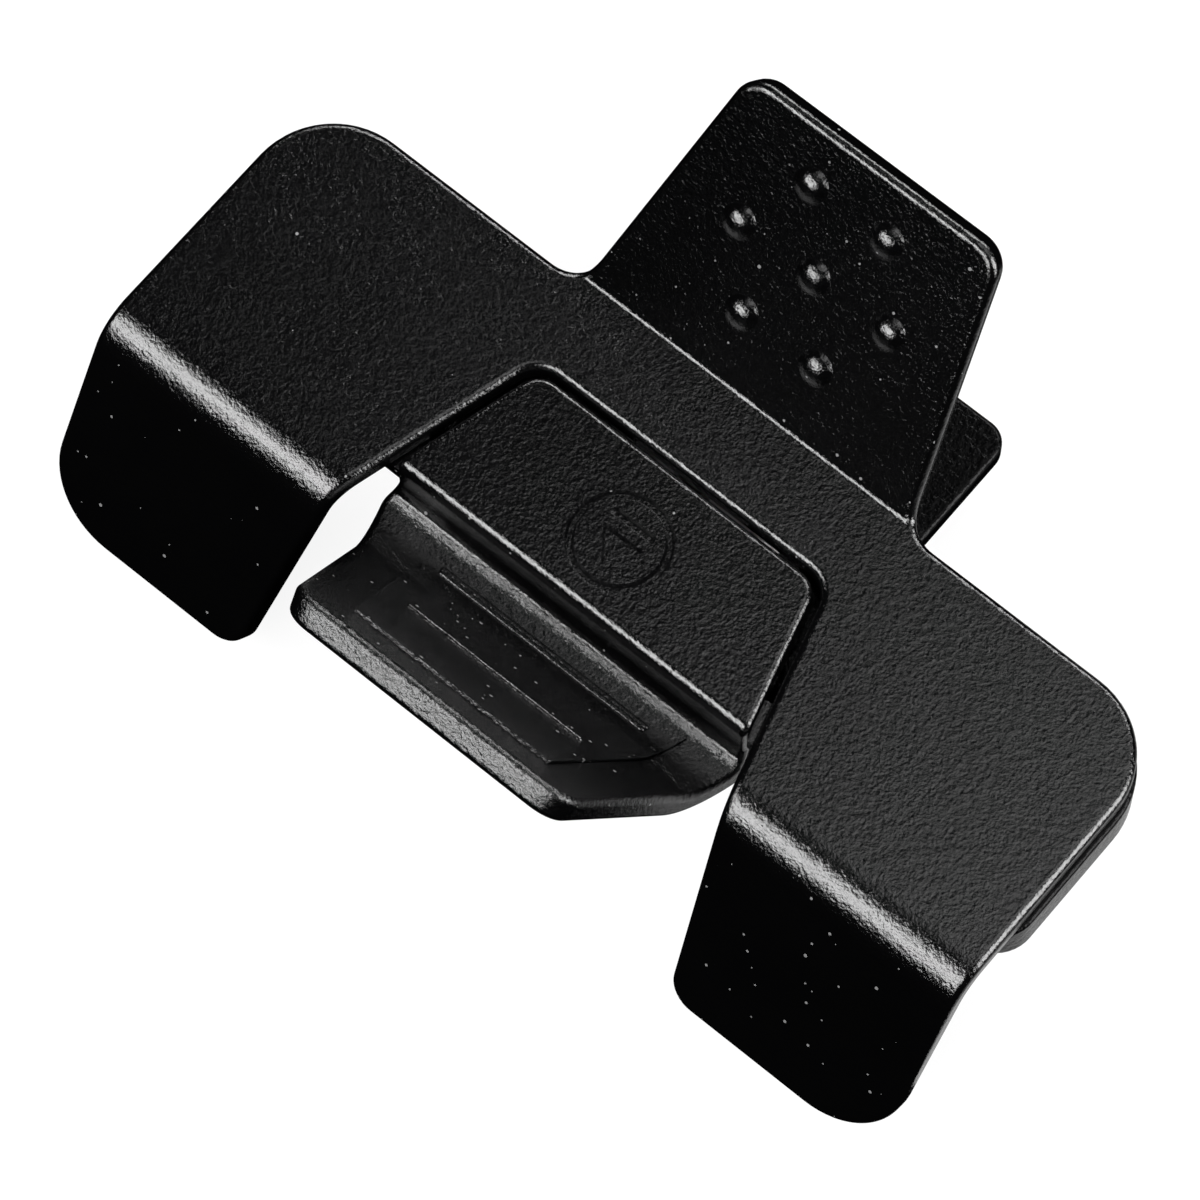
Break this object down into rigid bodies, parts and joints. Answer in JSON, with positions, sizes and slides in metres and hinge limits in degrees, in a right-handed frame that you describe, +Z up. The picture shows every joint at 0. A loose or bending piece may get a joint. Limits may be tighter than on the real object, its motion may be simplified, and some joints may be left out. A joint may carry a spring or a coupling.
{
  "type": "cam cleat",
  "caption": "Black single-lever cam cleat: wide cover plate with down-turned wings and a dimpled up-turned tab, thumb lever with toothed cam, moulded base.",
  "frame": {"origin": "centre of the four mounting inserts, on the underside of the deck pad", "axes": "+X across the cleat along the hinge, -Y to the front where the wings and the thumb lip are, +Z up out of the deck"},
  "size_m": [0.101, 0.0651, 0.0471],
  "materials": {
    "cover_black": "semi-gloss fine moulded grain",
    "lever_black": "semi-gloss fine moulded grain",
    "base_black": "satin moulded grain",
    "grip_rubber": "satin elastomer",
    "deck_rubber": "matte sheet rubber",
    "stainless": "passivated satin",
    "stainless_cast": "tumbled casting",
    "spring_steel": "drawn wire",
    "brass": "machined",
    "acetal": "machined acetal",
    "nylon_white": "turned nylon"
  },
  "bodies": {
    "frame": {"cover": "cover_black", "cover_inserts": "brass", "cover_washers": "stainless", "cover_screws": "stainless", "base": "base_black", "mount_inserts": "brass", "deck_pad": "deck_rubber", "lower_jaw": "stainless_cast", "jaw_screws": "stainless", "front_guide": "stainless", "front_guide_screws": "stainless", "rear_guide": "stainless", "rear_guide_rivets": "stainless", "hinge_pin": "stainless", "pivot_spacers": "nylon_white", "return_spring": "spring_steel"},
    "lever": {"lever": "lever_black", "grip_pad": "grip_rubber", "lever_bushes": "acetal", "cam": "stainless_cast", "cam_pin": "stainless"}
  },
  "joints": [
    {"name": "lever_hinge", "type": "hinge", "parent": "frame", "child": "lever", "pos_m": [0, -0.00825, 0.018], "axis": [1, 0, 0], "range_deg": [0, 20], "stiffness_Nm_per_rad": 0.15, "springref_deg": -22.92, "deforming": ["return_spring"]}
  ]
}
